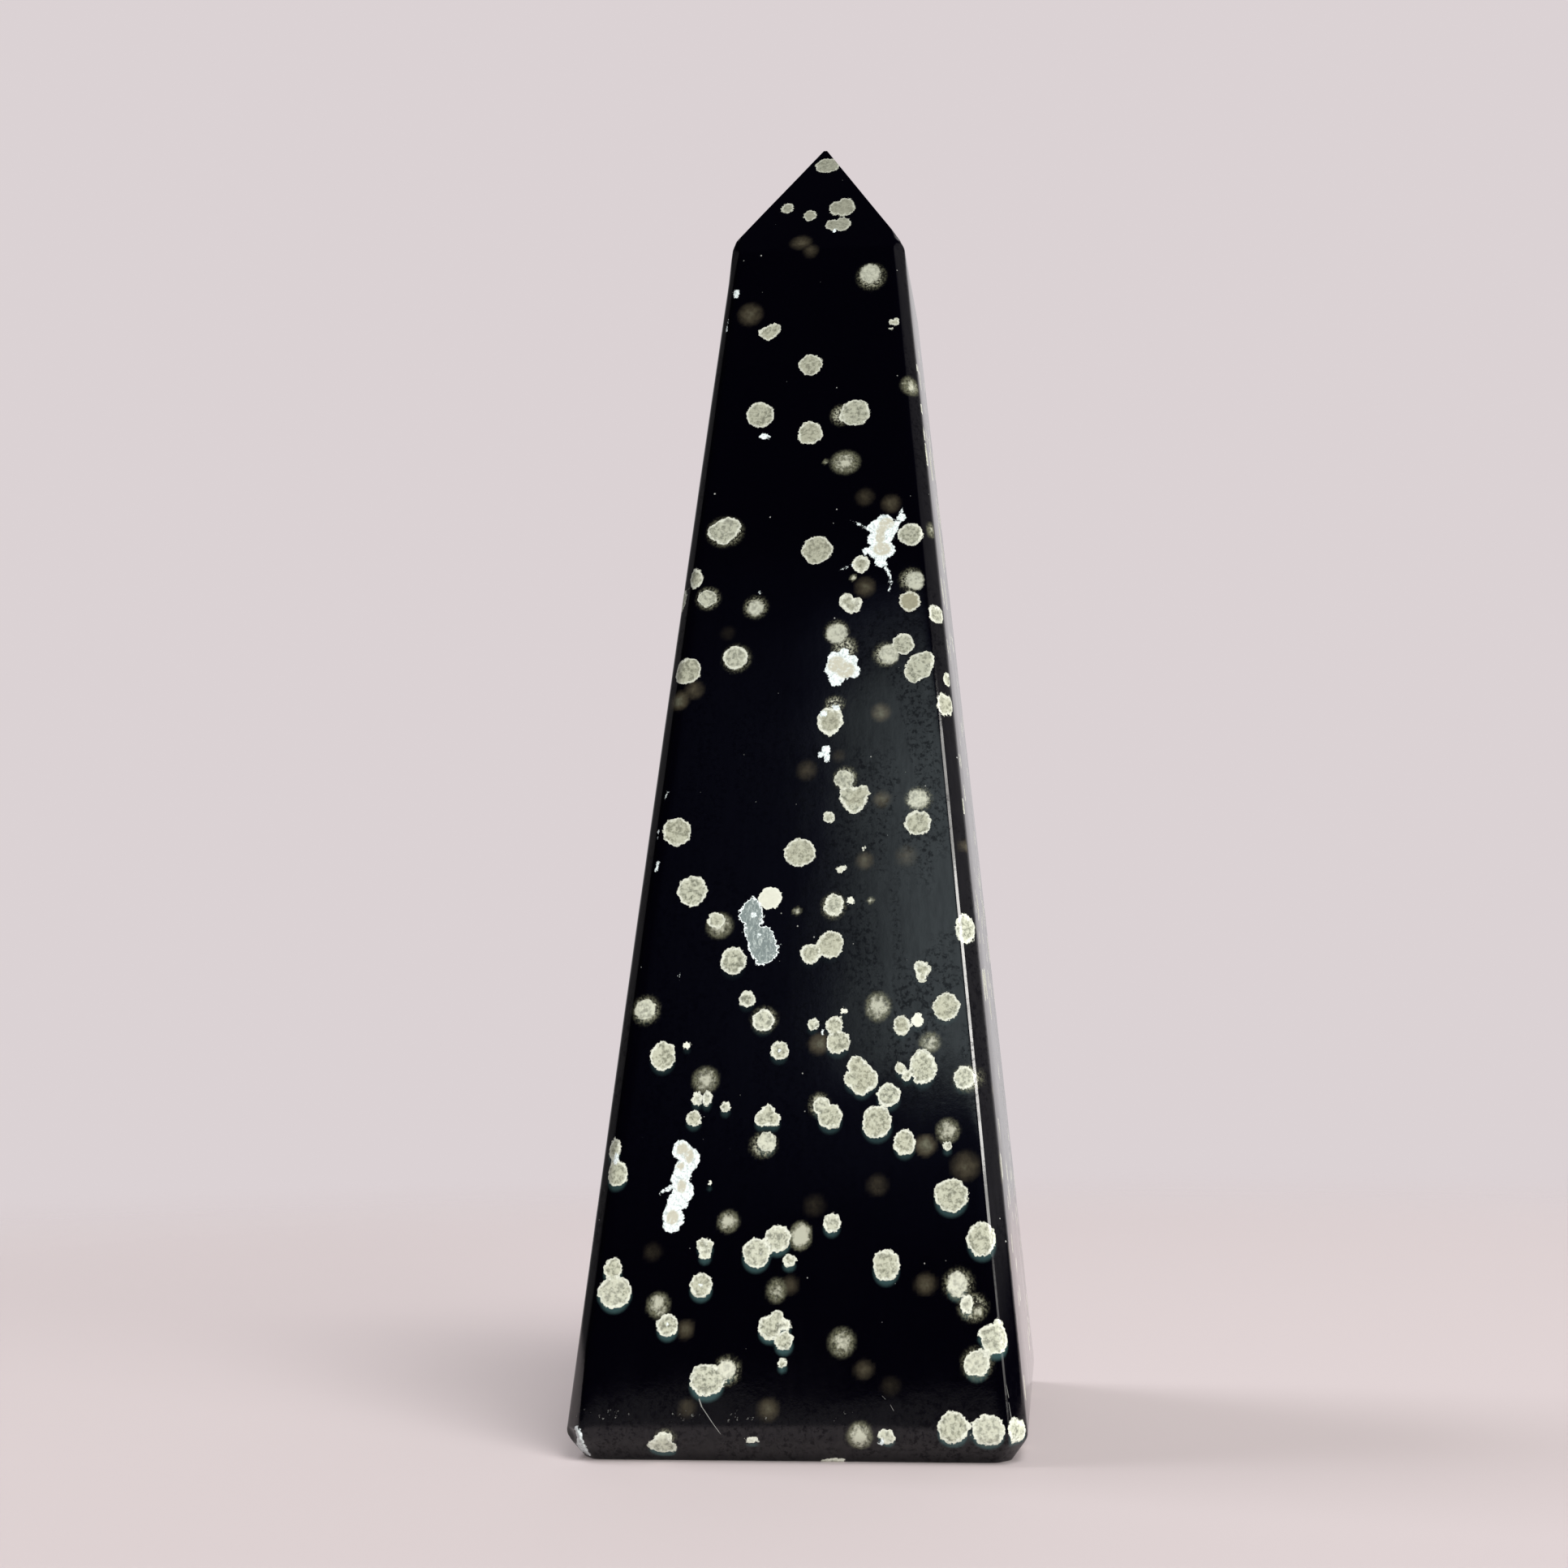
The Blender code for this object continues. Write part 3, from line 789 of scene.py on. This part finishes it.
class Nodes:
    """Short ways to add and join the shader nodes of a material or a world."""

    def __init__(self, owner):
        owner.use_nodes = True
        self.tree = owner.node_tree

    def add(self, kind, *values, **settings):
        """A node with these settings, and these values or links on its first inputs."""
        node = self.tree.nodes.new("ShaderNode" + kind)
        for name, value in settings.items():
            setattr(node, name, value)
        for value, socket in zip(values, node.inputs):
            self.join(value, socket)
        return node

    def join(self, value, socket):
        """Links a socket, or sets a number or colour."""
        if isinstance(value, bpy.types.NodeSocket):
            self.tree.links.new(value, socket)
        else:
            socket.default_value = value

    def fill(self, node, entries):
        """Joins values or links to a node's inputs by name."""
        for name, entry in entries.items():
            self.join(entry, node.inputs[name])

    def math(self, operation, *values):
        return self.add("Math", *values, operation=operation).outputs[0]

    def times(self, value, other):
        return self.math("MULTIPLY", value, other)

    def plus(self, value, other):
        return self.math("ADD", value, other)

    def line(self, value, slope, start):
        return self.math("MULTIPLY_ADD", value, slope, start)

    def vector(self, operation, *values, output=0):
        return self.add("VectorMath", *values, operation=operation).outputs[output]

    def ramp(self, value, low, high, to_low=0, to_high=1, kind="SMOOTHSTEP"):
        return self.add("MapRange", value, low, high, to_low, to_high, interpolation_type=kind).outputs[0]

    def blend(self, amount, first, second):
        """A colour between two."""
        node = self.add("Mix", amount, data_type="RGBA")
        self.join(first, node.inputs[6])
        self.join(second, node.inputs[7])
        return node.outputs[2]

    def switch(self, amount, first, second):
        """A number between two."""
        node = self.add("Mix", amount, data_type="FLOAT")
        self.join(first, node.inputs[2])
        self.join(second, node.inputs[3])
        return node.outputs[0]

    def attribute(self, name):
        return self.add("Attribute", attribute_name=name).outputs["Fac"]

    def noise(self, place, scale, detail=2, roughness=0.5, distortion=0, output="Fac"):
        node = self.add("TexNoise", place)
        self.fill(node, {"Scale": scale, "Detail": detail, "Roughness": roughness, "Distortion": distortion})
        return node.outputs[output]

    def sway(self, noise, amount):
        """A noise about nothing instead of a half, times an amount."""
        return self.times(self.math("SUBTRACT", noise, 0.5), amount)

    def cells(self, place, scale, feature="F1"):
        node = self.add("TexVoronoi", place, feature=feature)
        self.fill(node, {"Scale": scale})
        return node.outputs


def strewn(n, place, inward):
    """Balls strewn through the glass, seen at a depth: signed distance, a tone and a whiteness."""
    inner = n.vector("ADD", n.vector("MULTIPLY", place, (inward, inward, 1)), STREWN_START)
    distances = []
    for density, rarity, largest in STREWN_BALLS:
        cells = n.cells(inner, density)
        kinds = n.add("SeparateColor", cells["Color"]).outputs
        size = n.ramp(kinds[0], rarity, 1, STREWN_LEAST, largest, "LINEAR")
        distances.append(n.math("SUBTRACT", n.times(cells["Distance"], 1 / density), size))
    return n.math("MINIMUM", *distances), kinds[1], kinds[2]


def scratch(n, place, start, end, half_width):
    """How much of a fine scratch between two points shows, with distances in millimetres."""
    way = end - start
    offset = n.vector("SUBTRACT", place, tuple(start))
    along = n.vector("DOT_PRODUCT", offset, tuple(way / (way @ way)), output=1)
    nearest = n.vector("MULTIPLY", n.ramp(along, 0, 1, kind="LINEAR"), tuple(way))
    gap = n.vector("DISTANCE", offset, nearest, output=1)
    return n.ramp(gap, 1.3 * half_width, 0.4 * half_width)


def obsidian_material(planes):
    """Polished volcanic glass with spherulites."""
    material = bpy.data.materials.new("snowflake_obsidian")
    n = Nodes(material)
    shader = n.tree.nodes["Principled BSDF"]
    place = n.vector("MULTIPLY", n.add("TexCoord").outputs["Object"], (1 / MM, 1 / MM, 1 / MM))
    height = n.add("SeparateXYZ", place).outputs[2]
    front = n.attribute("front")
    fine = n.noise(place, *FINE)
    grain = n.noise(place, *GRAIN)

    # Outlines
    strewn_cut, strewn_tone, strewn_white = strewn(n, place, 1)
    strewn_cut = n.plus(strewn_cut, n.sway(n.noise(place, *BULGE), STREWN_RIPPLE))
    ripple = n.plus(n.sway(n.noise(place, *BROAD), BROAD_RIPPLE), n.sway(fine, FINE_RIPPLE))
    edge = n.plus(n.switch(front, strewn_cut, n.attribute("cut")), ripple)
    tone = n.switch(front, n.times(strewn_tone, 0.45), n.attribute("tone"))
    rim = n.switch(front, strewn_white, n.attribute("rim"))
    fade = n.ramp(rim, SOFT_RIM, 0, DISSOLVED, CRISP)
    spot = n.ramp(edge, fade, n.times(fade, -1))

    # Inside a spherulite
    mottle = n.noise(place, *MOTTLE)
    warp = n.noise(place, 1.1, output="Color")
    bent = n.vector("MULTIPLY_ADD", warp, (0.7, 0.7, 0.7), place)
    vein = n.ramp(n.cells(bent, 1.35, "DISTANCE_TO_EDGE")["Distance"], 0.11, 0)
    core = n.blend(n.ramp(mottle, 0.35, 0.6), PALE_DARK, PALE_LIGHT)
    core = n.blend(n.times(vein, n.ramp(fine, 0.4, 0.6, 0.05, 0.45)), core, PALE_VEIN)
    core = n.blend(n.times(n.math("MAXIMUM", tone, 0), 0.85), core, BEIGE)
    core = n.blend(n.math("MAXIMUM", n.times(tone, -0.85), 0), core, CREAM)
    # Painted shade: spherulites greyer towards the tip
    painted_shade = n.times(n.attribute("painted_shade"), front)
    core = n.blend(painted_shade, core, PAINTED_SHADE_GREY)
    band = n.ramp(edge, n.line(rim, -0.2, -0.16), -0.07)
    band = n.times(band, n.ramp(fine, 0.32, 0.58, 0.45, 1))
    # The painted shade also dims the white rims
    band = n.times(band, n.line(painted_shade, -0.75, 1))
    band = n.times(band, n.ramp(rim, -0.5, 0.1))
    core = n.blend(n.times(band, n.line(rim, 0.3, 0.65)), core, RIM_WHITE)

    # Under the surface: brown glows, halos and clouds, and a painted teal glow of light from the floor
    deep = n.ramp(strewn(n, place, DEEP_INWARD)[0], 0.1, -0.7, 0, 0.4)
    deep = n.switch(front, deep, n.attribute("deep"))
    deep = n.times(deep, n.ramp(n.noise(place, *DEEP_CLUMPS), 0.3, 0.7, 0.6, 1.15))
    colour = n.blend(deep, GLASS, n.blend(n.ramp(deep, 0.2, 0.7), DEEP_BROWN, DEEP_OLIVE))
    # Painted light: a teal glow from the floor just below each spherulite, near the foot
    painted_glow = n.times(n.ramp(n.attribute("painted_glow"), 0.12, -0.3), n.ramp(height, *PAINTED_GLOW_HEIGHTS))
    colour = n.blend(n.times(painted_glow, front), colour, PAINTED_GLOW_TEAL)
    amount = n.attribute("halo")
    halo = n.ramp(strewn(n, place, HALO_INWARD)[0], 0.05, -0.3)
    halo = n.times(n.switch(front, halo, n.ramp(amount, 0, 0.5)), n.ramp(grain, 0.42, 0.62, 0.08, 1))
    close = n.times(n.ramp(amount, 0.2, 0.75), n.ramp(grain, 0.44, 0.6, 0.25, 1))
    colour = n.blend(halo, colour, n.blend(n.times(close, front), HALO_OLIVE, HALO_LIGHT))
    cloud = n.times(n.attribute("cloud"), front)
    veil = n.times(n.ramp(cloud, 0.02, 0.45), n.ramp(grain, 0.36, 0.58, 0.25, 1))
    colour = n.blend(veil, colour, CLOUD_OLIVE)
    clumps = n.plus(cloud, n.sway(n.noise(place, *CLUMPS), CLUMP_RIPPLE))
    clumps = n.times(n.ramp(clumps, 0.35, 1.15), n.ramp(cloud, 0.12, 0.5))
    colour = n.blend(clumps, colour, CLOUD_LIGHT)
    colour = n.blend(spot, colour, core)

    # The patch
    patch = n.plus(n.attribute("patch"), n.sway(fine, PATCH_RIPPLE))
    streaks = n.noise(n.vector("MULTIPLY", place, (1.6, 1.6, 0.5)), *STREAKS)
    crystal = n.blend(n.ramp(streaks, 0.45, 0.75), CRYSTAL_DARK, CRYSTAL_LIGHT)
    crystal = n.blend(n.ramp(grain, 0.56, 0.68, 0, 0.9), crystal, CRYSTAL_LIGHT)
    crystal = n.blend(n.ramp(patch, -0.15, -0.07), crystal, CRUST_WHITE)
    patch = n.ramp(patch, CRISP, -CRISP)
    colour = n.blend(patch, colour, crystal)

    # The white clusters and threads, and the partly painted glint at the chip
    crust_and_glint = n.plus(n.sway(n.noise(place, *MOSS), MOSS_RIPPLE), n.times(ripple, 0.5))
    crust_and_glint = n.times(n.ramp(n.plus(n.attribute("crust_and_glint"), crust_and_glint), 0.035, -0.035), front)
    heart = n.times(n.ramp(n.attribute("heart"), 0.02, 0.4), n.ramp(fine, 0.34, 0.5, 0.55, 1))
    white = n.blend(n.ramp(grain, 0.3, 0.62), CRUST_GREY, CRUST_WHITE)
    white = n.blend(n.times(heart, 0.9), white, HEART_BEIGE)
    colour = n.blend(crust_and_glint, colour, white)

    # Dust, nicks and fine scratches
    dust = n.cells(place, DUST_CELLS)
    gate = n.ramp(dust["Color"], 0.38, 0.92, kind="LINEAR")
    speck = n.ramp(dust["Distance"], n.times(gate, DUST_SIZE), n.times(gate, 0.04))
    speck = n.times(speck, n.math("GREATER_THAN", gate, 0.02))
    colour = n.blend(n.times(speck, gate), colour, DUST_GREY)
    flecks = n.noise(place, *FLECKS)
    nicks = n.times(n.ramp(height, *NICKS_FOOT), n.ramp(height, *NICKS_TOP))
    nicks = n.times(nicks, n.ramp(flecks, 0.61, 0.72, 0, 0.6))
    nicks = n.times(nicks, n.ramp(n.noise(place, *FLECK_FIELDS), 0.46, 0.56))
    for *ends, half_width in SCRATCHES_PX:
        start = hit_point(planes, *ends[:2])[0]
        end = hit_point(planes, *ends[2:])[0]
        nicks = n.math("MAXIMUM", nicks, scratch(n, place, start, end, half_width))
    colour = n.blend(n.times(nicks, NICK_STRENGTH), colour, DUST_GREY)

    # The polish
    stone = n.math("MAXIMUM", n.math("MAXIMUM", spot, crust_and_glint), patch)
    smear = n.noise(n.vector("MULTIPLY", place, (1, 1, 0.35)), *SMEAR)
    flecks = n.times(n.ramp(flecks, 0.48, 0.62), n.ramp(smear, 0.36, 0.56))
    rough = n.line(flecks, FLECK_ROUGHNESS, n.ramp(smear, *SMEAR_ROUGHNESS))
    rough = n.line(stone, STONE_ROUGHNESS, rough)
    rough = n.math("MAXIMUM", rough, n.ramp(height, *FOOT_ROUGHNESS))
    drag = n.noise(n.vector("MULTIPLY", place, (1, 1, 0.16)), *DRAG)
    sheen = n.times(n.ramp(drag, 0.3, 0.7, 0.42, 0.54), n.line(flecks, -0.55, 1))
    bump = n.add("Bump")
    relief = n.plus(n.times(stone, mottle), n.noise(place, *POLISH))
    n.fill(bump, {"Strength": BUMP_STRENGTH, "Distance": BUMP_DEPTH, "Height": relief})
    n.fill(shader, {"Base Color": colour, "Roughness": rough, "IOR": INDEX})
    n.fill(shader, {"Specular IOR Level": sheen, "Normal": bump.outputs[0]})
    return material


def make_world():
    """Pale studio surroundings, with darker sides for the polished faces to mirror."""
    world = bpy.data.worlds.new("studio")
    n = Nodes(world)
    east, north, height = n.add("SeparateXYZ", n.add("TexCoord").outputs["Generated"]).outputs
    behind = n.ramp(north, *BEHIND_NORTH)
    left = n.times(n.ramp(east, *LEFT_EAST), n.ramp(north, *LEFT_NORTH))
    left = n.times(left, n.ramp(height, *LEFT_HEIGHT))
    right = n.times(n.ramp(east, *RIGHT_EAST), n.ramp(height, *RIGHT_HEIGHT))
    right = n.times(right, n.ramp(height, *RIGHT_PALING))
    hazes = []
    for foot, top, edge in HAZES:
        haze = n.times(n.ramp(height, *foot), n.ramp(height, *top))
        hazes.append(n.times(haze, n.ramp(east, *edge)))
    haze = n.times(n.plus(*hazes), n.ramp(north, *HAZE_NORTH))
    haze = n.times(haze, n.ramp(east, *HAZE_RIGHT))
    total = n.plus(n.math("MAXIMUM", behind, left), right)
    low = n.times(n.ramp(north, *LOW_NORTH), n.ramp(height, *LOW_HEIGHT))
    total = n.plus(n.plus(total, low), n.plus(haze, AMBIENT_LIGHT))
    seen = n.add("LightPath").outputs["Is Camera Ray"]
    tint = n.blend(n.ramp(haze, 0.1, 0.5), DIM_TINT, HAZE_TINT)
    tint = n.blend(n.ramp(haze, 0, 0.02), MIRRORED_TINT, tint)
    shown = {"Color": n.blend(seen, tint, BACKDROP), "Strength": n.switch(seen, total, 1)}
    n.fill(n.tree.nodes["Background"], shown)
    bpy.context.scene.world = world


def make_floor():
    """A plain pale floor that fades into the pale surroundings."""
    mesh = bpy.data.meshes.new("floor")
    signs = [(-1, -1), (1, -1), (1, 1), (-1, 1)]
    corners = [(x * FLOOR_SIZE, y * FLOOR_SIZE, FLOOR_DEPTH) for x, y in signs]
    mesh.from_pydata(corners, [], [(0, 1, 2, 3)])
    floor = linked("floor", mesh)
    material = bpy.data.materials.new("pale_floor")
    n = Nodes(material)
    shader = n.tree.nodes["Principled BSDF"]
    n.fill(shader, FLOOR_LOOK)
    east, north, height = n.add("SeparateXYZ", n.add("TexCoord").outputs["Object"]).outputs
    north = n.math("MINIMUM", north, n.times(north, FLOOR_NEARER))
    away = n.math("SQRT", n.plus(n.times(east, east), n.times(north, north)))
    mix = n.add("MixShader", n.ramp(away, *FLOOR_FADE), shader.outputs[0])
    n.join(n.add("BsdfTransparent").outputs[0], mix.inputs[2])
    n.fill(n.tree.nodes["Material Output"], {"Surface": mix.outputs[0]})
    floor.data.materials.append(material)


def make_lights():
    """The key, whose mirror image runs down the front right edge, a high front light and a fill.

    The key has a brighter core. Only its two weakest layers cast a shadow, which so stays pale.
    The polished faces don't mirror the other two lights.
    """
    for name, (azimuth, elevation, width, height, radiance, colour, shadow, mirrored) in LIGHTS.items():
        angle = radians(azimuth)
        lift = radians(elevation)
        way = np.array([sin(angle) * cos(lift), -cos(angle) * cos(lift), sin(lift)])
        data = bpy.data.lights.new(name, "AREA")
        data.shape = "RECTANGLE"
        data.size = width
        data.size_y = height
        data.energy = radiance * pi * width * height
        data.color = colour
        data.use_shadow = shadow
        light = linked(name, data)
        light.visible_glossy = mirrored
        side = np.cross([0, 0, 1], way)
        side /= norm(side)
        light.matrix_world = placed(side, np.cross(way, side), way, LIGHT_AIM + way * LIGHT_DISTANCE)


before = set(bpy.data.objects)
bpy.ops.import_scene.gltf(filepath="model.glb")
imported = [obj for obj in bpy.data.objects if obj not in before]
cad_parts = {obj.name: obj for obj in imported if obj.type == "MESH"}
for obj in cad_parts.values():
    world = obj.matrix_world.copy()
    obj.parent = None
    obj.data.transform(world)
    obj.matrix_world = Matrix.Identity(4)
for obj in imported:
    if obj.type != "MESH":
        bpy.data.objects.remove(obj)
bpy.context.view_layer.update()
make_camera()
bpy.context.scene.view_settings.view_transform = "Standard"
facets = facet_planes()
obelisk = build_stone(facets)
obelisk.data.materials.append(obsidian_material(facets))
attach(obelisk, "root")
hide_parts("obsidian_obelisk")
make_world()
make_floor()
make_lights()
